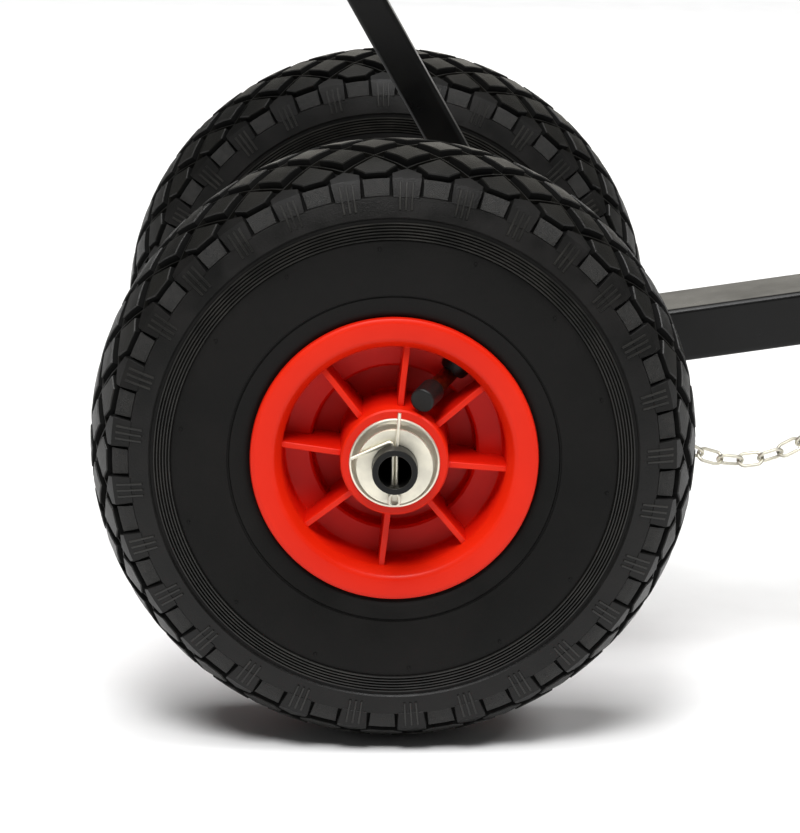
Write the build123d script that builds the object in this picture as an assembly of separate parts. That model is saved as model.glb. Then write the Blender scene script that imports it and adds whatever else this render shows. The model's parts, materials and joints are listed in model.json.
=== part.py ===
from build123d import *
import math
import os

# Two-wheeled hand truck for moving small trailers, in millimetres.
# +X is the load side, +Y runs along the axle to the left wheel, +Z is up, and the floor is Z = 0.

# ---- Wheels ----
WHEEL_DIAMETER = 260.0
TYRE_WIDTH = 85.0
TRACK = 300.0
TYRE_WALL = 4.5
BEAD_SEAT_RADIUS = 50.8
BEAD_WIDTH = 8.5
SHOULDER_DROP = 10.8
SHOULDER_INSET = 7.1
TUBE_WALL = 1.6
RIM_LIP_RADIUS = 60.7
RIM_HALF_WIDTH = 40.0
RIM_LIP_THICKNESS = 4.0
RIM_LIP_ROUND = 1.8
TYRE_OVER_LIP = 1.5
RIM_BARREL_WALL = 3.3
RIM_WEB_THICKNESS = 7.0
RIM_STEP_RADIUS = 35.0
RIM_STEP_HEIGHT = 3.0
RIM_RIB_COUNT = 8
RIM_RIB_THICKNESS = 3.0
RIM_RIB_ANGLE = 39.0
RIM_RIB_SETBACK = 3.0
HUB_WALL = 3.7
HUB_PROUD = 4.0

# ---- Wheel bearings ----
CUP_FLANGE_WIDTH = 1.6
CUP_FLANGE_THICKNESS = 1.6
CUP_WALL = 1.5
CUP_DEPTH = 12.0
BALL_DIAMETER = 5.0
BALL_COUNT = 11
CONE_WALL = 1.35
CONE_SEAT_LENGTH = 4.4
CONE_SEAT_WALL = 2.8
CUP_LIP_CLEARANCE = 1.6
HUB_SLEEVE_WALL = 2.0

# ---- Valve ----
VALVE_ANGLE = 54.0
VALVE_SET_OUT = 15.0
VALVE_RADIUS = 4.0
VALVE_BEND_RADIUS = 40.0
VALVE_TIP_ANGLE = 65.7
VALVE_FROM_HUB = 6.8
VALVE_TIP_SET_OUT = 41.5
VALVE_BEND = 5.5
RIM_HOLE_GAP = 0.4
VALVE_CAP_RADIUS = 5.2
VALVE_CAP_LENGTH = 12.0
VALVE_CAP_END = 3.0
VALVE_CAP_ROUND = 1.0

# ---- Axle ----
AXLE_DIAMETER = 19.0
AXLE_WALL = 2.5
AXLE_OVERHANG = 10.0
WASHER_WIDTH = 6.5
WASHER_THICKNESS = 2.0
PIN_WIRE = 1.5
PIN_BEND = 1.6
PIN_EYE_WIDTH = 4.0
PIN_EYE_LENGTH = 5.4
PIN_EYE_SHOULDER = 1.6
PIN_LEG_RISE = 2.2
PIN_LEG_SPREAD = 1.0
PIN_TAIL_UP = 23.4
PIN_TAIL_SIDE = 18.5
PIN_TAIL_SIDE_HEIGHT = 3.7
BUSH_WALL = 1.0
CARRIER_WALL = 2.0
BUSH_LENGTH = 20.0

# ---- Load beam and tongue ----
BEAM_SLOPE = 8.6
BEAM_WIDTH = 45.0
BEAM_HEIGHT = 25.0
BEAM_WALL = 2.0
BEAM_LENGTH = 300.0
BRACE_LEG = 38.0
BRACE_THICKNESS = 5.0
TONGUE_LENGTH = 292.0
TONGUE_REACH = 140.0
TONGUE_CORNER = 1.5
TONGUE_WALL = 2.0
SLIDE_GAP = 0.5
TONGUE_SCREW_SET_BACK = 22.0
PLATE_LENGTH = 92.0
PLATE_WIDTH = 80.0
PLATE_THICKNESS = 8.0
PLATE_OVERHANG = 50.0
PLATE_CORNER = 10.0
HITCH_BALL_REACH = 29.0
SHACKLE_HOLE = 12.0
SHACKLE_SPACING = 56.0
HITCH_BALL_DIAMETER = 50.0
HITCH_NECK_RADIUS = 11.0
HITCH_NECK_LENGTH = 14.0
HITCH_FLANGE_RADIUS = 19.0
HITCH_FLANGE_HEIGHT = 8.0
HITCH_STUD_DIAMETER = 19.0
HITCH_STUD_LENGTH = 38.0
HITCH_NUT_FLATS = 28.0
HITCH_NUT_HEIGHT = 16.0
SPRING_WASHER_HEIGHT = 4.0
SPRING_WASHER_WIDTH = 6.0
HITCH_BALL_FLAT = 2.0
HITCH_FLANGE_ROUND = 1.5

# ---- Handle ----
POST_LEAN = 119.6
POST_SIZE = 16.0
POST_WALL = 1.5
POST_CORNER = 2.0
POST_FOOT_X = 78.5
POST_LENGTH = 560.0
POLE_START = 262.0
POLE_END = 905.0
POLE_WALL = 1.5
COLLAR_LENGTH = 42.0
COLLAR_WALL = 5.0
COLLAR_BOSS_RADIUS = 10.0
COLLAR_BOSS_HEIGHT = 9.0
TEE_RADIUS = 15.0
TEE_LENGTH = 64.0
TEE_SPIGOT = 34.0
CROSSBAR_DIAMETER = 22.0
CROSSBAR_WALL = 1.5
CROSSBAR_LENGTH = 400.0
GRIP_LENGTH = 118.0
GRIP_WALL = 4.5
GRIP_END = 5.0
GRIP_ROUND = 2.0
COLLAR_CORNER = 4.0

# ---- Clamp screws ----
SCREW_DIAMETER = 8.0
SCREW_SHOWN = 5.0
SCREW_IN_KNOB = 12.0
SCREW_TIP_GAP = 0.3
SCREW_POINT_ROUND = 1.0
KNOB_CORE_RADIUS = 14.4
KNOB_LOBE_RADIUS = 6.84
KNOB_LOBE_SET_OUT = 11.16
KNOB_NECK_RADIUS = 8.1
KNOB_HEIGHT = 18.0
KNOB_LOBES = 5
CLAMP_NUT_FLATS = 14.0
CLAMP_NUT_HEIGHT = 8.0

# ---- Prop stand ----
STAND_SET_BACK = 34.0
STAND_PIVOT_DROP = 17.5
STAND_LEAN = 5.0
STAND_LEG_SIZE = 20.0
STAND_LEG_WALL = 1.5
STAND_BRACKET_PLATE = 3.0
STAND_BRACKET_MARGIN = 7.0
STAND_BRACKET_OFFSET = 5.0
STAND_BOLT_DIAMETER = 8.0
STAND_FOOT_WALL = 0.8
STAND_FOOT_HEIGHT = 28.0
STAND_FOOT_SOLE = 7.0
STAND_FOOT_ROUND = 1.5
STAND_STOP_TOP = 12.0
STAND_STOP_HEIGHT = 6.0
STAND_BOLT_HEAD = 5.5
STAND_BOLT_HEAD_RADIUS = 6.4
STAND_BOLT_THREAD = 9.0
STAND_NUT_FLATS = 13.0
STAND_NUT_HEIGHT = 6.5

# ---- Safety chain ----
CHAIN_FIRST_ANCHOR = 104.0
CHAIN_TO_STAND = 33.5
CHAIN_SLACK = 1.35
CHAIN_PITCH = 9.64
CHAIN_WIRE = 1.6
CHAIN_WIDTH = 8.4
CHAIN_GAP = 0.3
ANCHOR_DROP = 7.5
ANCHOR_ROD_RADIUS = 1.5
ANCHOR_SPAN = 12.0
ANCHOR_HOOK = 2.25
ANCHOR_BEND = 2.5
CHAIN_TWIST = 45.0
CHAIN_TWIST_LINKS = 4

# ---- Fits ----
RUNNING_FIT = 0.05
SEAT_GAP = 0.1
SIDE_GAP = 0.3
CORNER = 2.5
PLUG_DEPTH = 14.0
PLUG_HEAD = 3.0
PLUG_CORNER = 1.0
OVERRUN = 1.0
FAR = 900.0

axle_height = WHEEL_DIAMETER / 2
axle_radius = AXLE_DIAMETER / 2
cone_bore = axle_radius + RUNNING_FIT
cone_radius = cone_bore + CONE_WALL
ball_path = cone_radius + RUNNING_FIT + BALL_DIAMETER / 2
cup_radius = ball_path + BALL_DIAMETER / 2 + RUNNING_FIT + CUP_WALL
cup_flange_radius = cup_radius + CUP_FLANGE_WIDTH
hub_radius = cup_flange_radius + HUB_WALL
valve_tip_radius = hub_radius + VALVE_FROM_HUB
washer_radius = axle_radius + WASHER_WIDTH
carrier_size = AXLE_DIAMETER + 2 * BUSH_WALL + 2 * CARRIER_WALL
stand_position = BEAM_LENGTH - STAND_SET_BACK
chain_second_anchor = stand_position - CHAIN_TO_STAND
chain_links = round((chain_second_anchor - CHAIN_FIRST_ANCHOR) * CHAIN_SLACK / CHAIN_PITCH)
hub_face = RIM_HALF_WIDTH + HUB_PROUD
cup_face = hub_face + CUP_FLANGE_THICKNESS
cone_face = cup_face + CONE_SEAT_LENGTH
washer_face = cone_face + WASHER_THICKNESS
pin_offset = washer_face + SIDE_GAP + PIN_WIRE / 2 + PIN_WIRE / 2
axle_half_length = TRACK / 2 + washer_face + AXLE_OVERHANG
carrier_half_length = TRACK / 2 - washer_face

beam_frame = Plane(
    origin=(0, 0, axle_height),
    x_dir=(math.cos(math.radians(BEAM_SLOPE)), 0, math.sin(math.radians(BEAM_SLOPE))),
    z_dir=(-math.sin(math.radians(BEAM_SLOPE)), 0, math.cos(math.radians(BEAM_SLOPE))),
)
post_foot_height = axle_height + POST_FOOT_X * math.tan(math.radians(BEAM_SLOPE))
post_frame = Plane(
    origin=(POST_FOOT_X, 0, post_foot_height),
    x_dir=(math.cos(math.radians(POST_LEAN)), 0, math.sin(math.radians(POST_LEAN))),
    z_dir=(-math.sin(math.radians(POST_LEAN)), 0, math.cos(math.radians(POST_LEAN))),
)
right_wheel_frame = Plane(origin=(0, -TRACK / 2, axle_height), x_dir=(1, 0, 0), z_dir=(0, -1, 0))
left_wheel_frame = Plane(origin=(0, TRACK / 2, axle_height), x_dir=(-1, 0, 0), z_dir=(0, 1, 0))

nodes = {}


def place(frame, shape):
    """The shape, moved from a local frame to the truck."""
    return shape.moved(frame.location)


def keep(name, *shapes):
    """Files the shapes' solids under one node name."""
    solids = []
    for shape in shapes:
        solids.extend(shape.solids())
    nodes[name] = solids


def spin_profile(points):
    """A solid of revolution about Z from an outline of (radius, height) points."""
    outline = Plane.XZ * make_face(Polyline(*points, close=True))
    return revolve(outline, Axis.Z)


def ring(outer, inner, start, end):
    """A plain ring about Z."""
    return spin_profile([(inner, start), (outer, start), (outer, end), (inner, end)])


def rod_z(radius, start, end):
    """A round rod along Z."""
    return Pos(0, 0, (start + end) / 2) * Cylinder(radius, abs(end - start))


def rod_y(radius, start, end, x=0.0, z=0.0):
    """A round rod along Y."""
    return Pos(x, (start + end) / 2, z) * Rot(90, 0, 0) * Cylinder(radius, abs(end - start))


def block(x_range, y_range, z_range):
    """A box from its three ranges."""
    size = [high - low for low, high in (x_range, y_range, z_range)]
    middle = [(low + high) / 2 for low, high in (x_range, y_range, z_range)]
    return Pos(*middle) * Box(*size)


def square_bar(width, height, start, end, corner=CORNER):
    """A solid bar along X with rounded edges."""
    return Pos(start, 0, 0) * extrude(Plane.YZ * RectangleRounded(width, height, corner), end - start)


def square_tube(width, height, wall, start, end, corner=CORNER):
    """A rectangular tube along X with rounded edges."""
    inner_corner = corner - wall * 0.7
    bore = square_bar(width - 2 * wall, height - 2 * wall, start - OVERRUN, end + OVERRUN, inner_corner)
    return square_bar(width, height, start, end, corner) - bore


def hexagon(flats, start, end, bore):
    """A hexagon nut about Z."""
    body = extrude(RegularPolygon(flats / 2, 6, major_radius=False), end - start)
    return Pos(0, 0, start) * body - rod_z(bore, start - OVERRUN, end + OVERRUN)


def bent_rod(points, bend, radius):
    """A round wire along straight runs joined by arcs."""
    path = FilletPolyline(*points, radius=bend)
    start = path ^ 0
    return sweep(Plane(origin=start.position, z_dir=path % 0) * Circle(radius), path)


# ---- Wheel, about its own axis, with Z outward from the truck ----
ball_set_out = hub_face - CUP_DEPTH / 2 + CUP_FLANGE_THICKNESS / 2
lip_bore = cone_radius + CUP_LIP_CLEARANCE
barrel_radius = BEAD_SEAT_RADIUS - RIM_BARREL_WALL
web_face = RIM_WEB_THICKNESS / 2
flange_face = RIM_HALF_WIDTH - RIM_LIP_THICKNESS
shoulder_radius = WHEEL_DIAMETER / 2 - SHOULDER_DROP
shoulder_side = TYRE_WIDTH / 2 - SHOULDER_INSET
sidewall_radius = (shoulder_radius + RIM_LIP_RADIUS) / 2
valve_stem_radius = VALVE_RADIUS - RIM_HOLE_GAP


def tyre():
    """Pneumatic tyre, open at its beads."""
    side = flange_face - SIDE_GAP
    lip = RIM_LIP_RADIUS + SIDE_GAP
    foot = BEAD_SEAT_RADIUS + SIDE_GAP
    crown = WHEEL_DIAMETER / 2
    widest = TYRE_WIDTH / 2
    over_lip = RIM_HALF_WIDTH - TYRE_OVER_LIP
    outside = [
        Line((foot, side), (lip, side)),
        Line((lip, side), (lip, over_lip)),
        ThreePointArc((lip, over_lip), (sidewall_radius, widest), (shoulder_radius, shoulder_side)),
        ThreePointArc((shoulder_radius, shoulder_side), (crown, 0), (shoulder_radius, -shoulder_side)),
        ThreePointArc((shoulder_radius, -shoulder_side), (sidewall_radius, -widest), (lip, -over_lip)),
        Line((lip, -over_lip), (lip, -side)),
        Line((lip, -side), (foot, -side)),
    ]
    heel = side - BEAD_WIDTH
    inner_side = TYRE_WIDTH / 2 - TYRE_WALL
    inner_shoulder = (shoulder_radius - TYRE_WALL, shoulder_side - TYRE_WALL)
    inside = [
        Line((foot, -side), (foot, -heel)),
        Line((foot, -heel), (lip, -heel)),
        ThreePointArc((lip, -heel), (sidewall_radius, -inner_side), (inner_shoulder[0], -inner_shoulder[1])),
        ThreePointArc((inner_shoulder[0], -inner_shoulder[1]), (crown - TYRE_WALL - 1, 0), inner_shoulder),
        ThreePointArc(inner_shoulder, (sidewall_radius, inner_side), (lip, heel)),
        Line((lip, heel), (foot, heel)),
        Line((foot, heel), (foot, side)),
    ]
    return revolve(Plane.XZ * make_face(Curve() + outside + inside), Axis.Z)


def tube_section(inset):
    """Closed outline of the inner tube, held in from the tyre's inside."""
    heel = flange_face - SIDE_GAP - BEAD_WIDTH - inset
    inner = BEAD_SEAT_RADIUS + inset
    lip = RIM_LIP_RADIUS + SIDE_GAP
    side = TYRE_WIDTH / 2 - TYRE_WALL - inset
    shoulder = (shoulder_radius - TYRE_WALL - inset, shoulder_side - TYRE_WALL - inset)
    top = WHEEL_DIAMETER / 2 - TYRE_WALL - 1 - inset
    return make_face(
        Curve()
        + [
            Line((inner, -heel), (inner, heel)),
            Line((inner, heel), (lip, heel)),
            ThreePointArc((lip, heel), (sidewall_radius, side), shoulder),
            ThreePointArc(shoulder, (top, 0), (shoulder[0], -shoulder[1])),
            ThreePointArc((shoulder[0], -shoulder[1]), (sidewall_radius, -side), (lip, -heel)),
            Line((lip, -heel), (inner, -heel)),
        ]
    )


def inner_tube():
    """Hollow inner tube."""
    outer = revolve(Plane.XZ * tube_section(SIDE_GAP * 2), Axis.Z)
    inner = revolve(Plane.XZ * tube_section(SIDE_GAP * 2 + TUBE_WALL), Axis.Z)
    return outer - inner


def rim():
    """Moulded rim: barrel, two rolled lips, web, ribs and hub."""
    barrel = ring(BEAD_SEAT_RADIUS, barrel_radius, -RIM_HALF_WIDTH, RIM_HALF_WIDTH)
    lip = ring(RIM_LIP_RADIUS, barrel_radius, flange_face, RIM_HALF_WIDTH)
    lip = fillet(lip.edges().filter_by(GeomType.CIRCLE).group_by(SortBy.RADIUS)[-1], RIM_LIP_ROUND)
    hub = ring(hub_radius, lip_bore, -hub_face, hub_face)
    web = ring(barrel_radius + OVERRUN, hub_radius - OVERRUN, -web_face, web_face)
    step_face = web_face + RIM_STEP_HEIGHT
    step = ring(RIM_STEP_RADIUS, hub_radius - OVERRUN, -step_face, step_face)
    body = barrel + lip + Rot(180, 0, 0) * lip + hub + web + step
    rib_end = RIM_HALF_WIDTH - RIM_RIB_SETBACK
    rib = block(
        (hub_radius - OVERRUN, barrel_radius + OVERRUN),
        (-RIM_RIB_THICKNESS / 2, RIM_RIB_THICKNESS / 2),
        (-rib_end, rib_end),
    )
    for index in range(RIM_RIB_COUNT):
        body += Rot(0, 0, RIM_RIB_ANGLE + index * 360 / RIM_RIB_COUNT) * rib
    pocket = rod_z(cup_radius, hub_face - CUP_DEPTH, hub_face + OVERRUN)
    body = body - pocket - Rot(180, 0, 0) * pocket
    hole_radius = VALVE_RADIUS + SIDE_GAP
    drill = Rot(0, 90, 0) * Cylinder(hole_radius, 4 * RIM_BARREL_WALL)
    stem_hole = Pos(barrel_radius, 0, VALVE_SET_OUT) * drill
    return body - Rot(0, 0, VALVE_ANGLE) * stem_hole


def around_wheel(radius, angle, height):
    """A point at an angle round the wheel's axis."""
    turn = math.radians(angle)
    return Vector(radius * math.cos(turn), radius * math.sin(turn), height)


def valve_stem():
    """Angled valve stem, from the tube through the rim barrel."""
    root = math.sqrt((BEAD_SEAT_RADIUS + 2 * SIDE_GAP) ** 2 - valve_stem_radius**2)
    points = [
        around_wheel(root, VALVE_ANGLE, VALVE_SET_OUT),
        around_wheel(VALVE_BEND_RADIUS, VALVE_ANGLE, VALVE_SET_OUT),
        around_wheel(valve_tip_radius, VALVE_TIP_ANGLE, VALVE_TIP_SET_OUT),
    ]
    return bent_rod(points, VALVE_BEND, valve_stem_radius)


def valve_cap():
    """Screwed dust cap on the end of the stem."""
    tip = around_wheel(valve_tip_radius, VALVE_TIP_ANGLE, VALVE_TIP_SET_OUT)
    lean = (tip - around_wheel(VALVE_BEND_RADIUS, VALVE_ANGLE, VALVE_SET_OUT)).normalized()
    body = rod_z(VALVE_CAP_RADIUS, VALVE_CAP_END - VALVE_CAP_LENGTH, VALVE_CAP_END)
    body = fillet(body.edges().group_by(Axis.Z)[-1], VALVE_CAP_ROUND)
    bore = rod_z(valve_stem_radius + RUNNING_FIT, -VALVE_CAP_LENGTH, RUNNING_FIT)
    return Plane(origin=tip, z_dir=lean).location * (body - bore)


def bearing_cup():
    """Pressed cup with a flange against the hub face."""
    rear = hub_face - CUP_DEPTH
    return spin_profile(
        [
            (lip_bore, cup_face),
            (cup_flange_radius, cup_face),
            (cup_flange_radius, hub_face),
            (cup_radius, hub_face),
            (cup_radius, rear),
            (lip_bore, rear),
            (lip_bore, rear + CUP_WALL),
            (cup_radius - CUP_WALL, rear + CUP_WALL),
            (cup_radius - CUP_WALL, hub_face),
            (lip_bore, hub_face),
        ]
    )


def bearing_balls():
    """Both rows of balls."""
    balls = []
    for side in (-1, 1):
        for index in range(BALL_COUNT):
            spot = Rot(0, 0, index * 360 / BALL_COUNT) * Pos(ball_path, 0, side * ball_set_out)
            balls.append(spot * Sphere(BALL_DIAMETER / 2))
    return balls


def bearing_cone():
    """Inner race, with the collar that the washer bears on."""
    inner_end = hub_face - CUP_DEPTH + SIDE_GAP
    collar = cup_face + SIDE_GAP
    seat = cone_bore + CONE_SEAT_WALL
    return spin_profile(
        [
            (cone_bore, inner_end),
            (cone_radius, inner_end),
            (cone_radius, collar),
            (seat, collar),
            (seat, cone_face),
            (cone_bore, cone_face),
        ]
    )


def build_wheel(side, frame):
    """One wheel with its bearings."""
    turn_over = Rot(180, 0, 0)
    sleeve_end = hub_face - CUP_DEPTH + SIDE_GAP
    keep(side + "_tyre", place(frame, tyre()))
    keep(side + "_inner_tube", place(frame, inner_tube()))
    keep(side + "_rim", place(frame, rim()))
    keep(side + "_valve_stem", place(frame, valve_stem()))
    keep(side + "_valve_cap", place(frame, valve_cap()))
    keep(side + "_outer_bearing_cup", place(frame, bearing_cup()))
    keep(side + "_inner_bearing_cup", place(frame, turn_over * bearing_cup()))
    keep(side + "_bearing_balls", *[place(frame, ball) for ball in bearing_balls()])
    keep(side + "_outer_bearing_cone", place(frame, bearing_cone()))
    keep(side + "_inner_bearing_cone", place(frame, turn_over * bearing_cone()))
    sleeve = ring(cone_bore + HUB_SLEEVE_WALL, cone_bore, -sleeve_end, sleeve_end)
    keep(side + "_hub_sleeve", place(frame, sleeve))


# ---- Axle ----
def split_pin():
    """Split pin through the axle: eye below, one leg straight up and one bent aside."""
    leg = PIN_WIRE / 2 + SEAT_GAP / 2
    neck = -axle_radius - SIDE_GAP - PIN_WIRE / 2
    eye = PIN_EYE_WIDTH / 2
    eye_top = neck - PIN_EYE_SHOULDER
    eye_low = neck - PIN_EYE_LENGTH
    top = axle_radius + PIN_LEG_RISE
    points = [
        (leg + PIN_LEG_SPREAD, PIN_TAIL_UP),
        (leg, axle_radius),
        (leg, neck),
        (eye, eye_top),
        (eye, eye_low),
        (-eye, eye_low),
        (-eye, eye_top),
        (-leg, neck),
        (-leg, top),
        (-PIN_TAIL_SIDE, PIN_TAIL_SIDE_HEIGHT),
    ]
    return Pos(0, 0, pin_offset) * bent_rod([(x, y, 0) for x, y in points], PIN_BEND, PIN_WIRE / 2)


def build_axle():
    """Axle tube with its washers, split pins and bushes."""
    axle = rod_y(axle_radius, -axle_half_length, axle_half_length)
    axle -= rod_y(axle_radius - AXLE_WALL, -axle_half_length - OVERRUN, axle_half_length + OVERRUN)
    hole_radius = PIN_WIRE + SEAT_GAP / 2 + SEAT_GAP
    for side in (-1, 1):
        axle -= Pos(0, side * (TRACK / 2 + pin_offset), 0) * Cylinder(hole_radius, AXLE_DIAMETER + OVERRUN)
    keep("axle", Pos(0, 0, axle_height) * axle)

    washers = []
    for frame in (right_wheel_frame, left_wheel_frame):
        washer = ring(washer_radius, axle_radius + RUNNING_FIT, cone_face, washer_face)
        washers.append(place(frame, washer))
        washers.append(place(frame, Rot(180, 0, 0) * washer))
    keep("axle_washers", *washers)
    keep("right_split_pin", place(right_wheel_frame, split_pin()))
    keep("left_split_pin", place(left_wheel_frame, split_pin()))

    across = Plane(origin=(0, 0, axle_height), x_dir=(0, 1, 0), z_dir=(0, 0, 1))
    tube = square_tube(carrier_size, carrier_size, CARRIER_WALL, -carrier_half_length, carrier_half_length)
    keep("axle_carrier", place(across, tube))
    bush_size = carrier_size - 2 * CARRIER_WALL - 2 * SEAT_GAP
    bushes = []
    for side in (-1, 1):
        ends = sorted([side * carrier_half_length, side * (carrier_half_length - BUSH_LENGTH)])
        bush = block(ends, (-bush_size / 2, bush_size / 2), (-bush_size / 2, bush_size / 2))
        bore = Rot(0, 90, 0) * Cylinder(axle_radius + RUNNING_FIT, 3 * carrier_half_length)
        edges = bush.edges().filter_by(Axis.X)
        bushes.append(place(across, fillet(edges, CORNER - CARRIER_WALL / 2) - bore))
    keep("axle_bushes", *bushes)


# ---- Load beam, along the beam frame's X ----
beam_top = BEAM_HEIGHT / 2
carrier_cut = block((-FAR, carrier_size / 2), (-FAR, FAR), (0, 2 * axle_height))


def build_beam():
    """Load beam, welded to the carrier, with its two side braces."""
    screw_at = BEAM_LENGTH - TONGUE_SCREW_SET_BACK
    tube = square_tube(BEAM_WIDTH, BEAM_HEIGHT, BEAM_WALL, 0, BEAM_LENGTH)
    tube -= rod_y(SCREW_DIAMETER / 2 + SIDE_GAP, -BEAM_WIDTH / 2 - OVERRUN, 0, x=screw_at)
    keep("load_beam", place(beam_frame, tube) - carrier_cut)
    braces = []
    for side in (-1, 1):
        edge = side * BEAM_WIDTH / 2
        corner = carrier_size / 2
        tip = edge + side * BRACE_LEG
        outline = Polyline((0, edge), (corner + BRACE_LEG, edge), (corner, tip), (0, tip), close=True)
        triangle = make_face(outline)
        plate = Pos(0, 0, -BRACE_THICKNESS / 2) * extrude(triangle, BRACE_THICKNESS, dir=(0, 0, 1))
        braces.append(place(beam_frame, plate) - carrier_cut)
    keep("carrier_braces", *braces)


def build_tongue():
    """Sliding tongue with the hitch plate, ball and fasteners."""
    width = BEAM_WIDTH - 2 * BEAM_WALL - 2 * SLIDE_GAP
    height = BEAM_HEIGHT - 2 * BEAM_WALL - 2 * SLIDE_GAP
    end = BEAM_LENGTH + TONGUE_REACH
    start = end - TONGUE_LENGTH
    keep("tongue", place(beam_frame, square_tube(width, height, TONGUE_WALL, start, end, TONGUE_CORNER)))
    plug_width = width - 2 * TONGUE_WALL - 2 * SEAT_GAP
    plug_height = height - 2 * TONGUE_WALL - 2 * SEAT_GAP
    plug = block((-PLUG_DEPTH, 0), (-plug_width / 2, plug_width / 2), (-plug_height / 2, plug_height / 2))
    plug += block((0, PLUG_HEAD), (-width / 2, width / 2), (-height / 2, height / 2))
    keep("tongue_end_plug", place(beam_frame, Pos(end, 0, 0) * plug))

    seat = height / 2
    top = seat + PLATE_THICKNESS
    far = end + PLATE_OVERHANG
    plate = block((far - PLATE_LENGTH, far), (-PLATE_WIDTH / 2, PLATE_WIDTH / 2), (seat, top))
    plate = fillet(plate.edges().filter_by(Axis.Z), PLATE_CORNER)
    ball_at = end + HITCH_BALL_REACH
    stud = HITCH_STUD_DIAMETER / 2
    plate -= Pos(ball_at, 0, 0) * rod_z(stud + SIDE_GAP, 0, top + OVERRUN)
    for side in (-1, 1):
        plate -= Pos(ball_at, side * SHACKLE_SPACING / 2, 0) * rod_z(SHACKLE_HOLE / 2, 0, top + OVERRUN)
    keep("hitch_plate", place(beam_frame, plate))

    flange_top = top + HITCH_FLANGE_HEIGHT
    radius = HITCH_BALL_DIAMETER / 2
    centre = flange_top + HITCH_NECK_LENGTH + math.sqrt(radius**2 - HITCH_NECK_RADIUS**2)
    ball = rod_z(HITCH_FLANGE_RADIUS, top, flange_top)
    ball = fillet(ball.edges().group_by(Axis.Z)[-1], HITCH_FLANGE_ROUND)
    ball += rod_z(HITCH_NECK_RADIUS, flange_top - OVERRUN, centre)
    ball += Pos(0, 0, centre) * Sphere(radius)
    ball += rod_z(stud, top - HITCH_STUD_LENGTH, top + OVERRUN)
    ball_top = centre + radius
    ball -= block((-radius, radius), (-radius, radius), (ball_top - HITCH_BALL_FLAT, ball_top + OVERRUN))
    keep("hitch_ball", place(beam_frame, Pos(ball_at, 0, 0) * ball))
    spring = ring(stud + SPRING_WASHER_WIDTH, stud + SEAT_GAP, seat - SPRING_WASHER_HEIGHT, seat)
    keep("hitch_spring_washer", place(beam_frame, Pos(ball_at, 0, 0) * spring))
    nut_top = seat - SPRING_WASHER_HEIGHT
    nut = hexagon(HITCH_NUT_FLATS, nut_top - HITCH_NUT_HEIGHT, nut_top, stud + RUNNING_FIT)
    keep("hitch_nut", place(beam_frame, Pos(ball_at, 0, 0) * nut))


# ---- Clamp screws, along Z with the tip at Z = 0 ----
def clamp_screw(length):
    """Threaded clamp screw."""
    return fillet(rod_z(SCREW_DIAMETER / 2, 0, length).edges().group_by(Axis.Z)[0], SCREW_POINT_ROUND)


def clamp_knob(start):
    """Five-lobed knob moulded over the end of its screw."""
    body = rod_z(KNOB_CORE_RADIUS, start, start + KNOB_HEIGHT)
    for index in range(KNOB_LOBES):
        spot = Rot(0, 0, index * 360 / KNOB_LOBES) * Pos(KNOB_LOBE_SET_OUT, 0, 0)
        body += spot * rod_z(KNOB_LOBE_RADIUS, start, start + KNOB_HEIGHT)
    neck = rod_z(KNOB_NECK_RADIUS, start - SCREW_SHOWN / 2, start)
    bore = rod_z(SCREW_DIAMETER / 2 + SEAT_GAP, start - SCREW_SHOWN, start + SCREW_IN_KNOB)
    return body + neck - bore


def build_tongue_clamp():
    """Clamp screw in a nut welded to the side of the beam."""
    tongue_side = BEAM_WIDTH / 2 - BEAM_WALL - SLIDE_GAP
    seat = BEAM_WIDTH / 2 - tongue_side - SCREW_TIP_GAP
    nut_end = seat + CLAMP_NUT_HEIGHT
    frame = Plane(
        origin=(BEAM_LENGTH - TONGUE_SCREW_SET_BACK, -tongue_side - SCREW_TIP_GAP, 0),
        x_dir=(1, 0, 0),
        z_dir=(0, -1, 0),
    )
    knob_start = nut_end + SCREW_SHOWN
    nut = hexagon(CLAMP_NUT_FLATS, seat, nut_end, SCREW_DIAMETER / 2 + RUNNING_FIT)
    screw = clamp_screw(knob_start + SCREW_IN_KNOB - SEAT_GAP)
    keep("tongue_clamp_nut", place(beam_frame, place(frame, nut)))
    keep("tongue_clamp_screw", place(beam_frame, place(frame, screw)))
    keep("tongue_clamp_knob", place(beam_frame, place(frame, clamp_knob(knob_start))))


# ---- Handle, along the post frame's X ----
pole_size = POST_SIZE + 2 * SLIDE_GAP + 2 * POLE_WALL


def build_post():
    """Post on top of the beam, with its two foot gussets and its top plug."""
    below_beam = place(beam_frame, block((-FAR, FAR), (-FAR, FAR), (-FAR, beam_top)))
    tube = place(post_frame, square_tube(POST_SIZE, POST_SIZE, POST_WALL, 0, POST_LENGTH, POST_CORNER))
    keep("handle_post", tube - below_beam)
    post_block = place(post_frame, square_bar(POST_SIZE, POST_SIZE, 0, POST_LENGTH, POST_CORNER))
    gussets = []
    for side in (-1, 1):
        corner = Vector(POST_FOOT_X / math.cos(math.radians(BEAM_SLOPE)), 0, 0)
        lean = math.radians(POST_LEAN - BEAM_SLOPE)
        up = Vector(math.cos(lean), 0, math.sin(lean)) * (BRACE_LEG + BEAM_HEIGHT)
        along = Vector(side * (BRACE_LEG + POST_SIZE), 0, 0)
        triangle = make_face(Polyline(corner, corner + up, corner + along, close=True))
        plate = extrude(triangle, BRACE_THICKNESS / 2, dir=(0, 1, 0), both=True)
        gussets.append(place(beam_frame, plate) - below_beam - post_block)
    keep("post_gussets", *gussets)
    bore = POST_SIZE - 2 * POST_WALL - 2 * SEAT_GAP
    plug = square_bar(bore, bore, POST_LENGTH - PLUG_DEPTH, POST_LENGTH, PLUG_CORNER)
    plug += square_bar(POST_SIZE, POST_SIZE, POST_LENGTH, POST_LENGTH + PLUG_HEAD, POST_CORNER)
    keep("post_plug", place(post_frame, plug))


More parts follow.
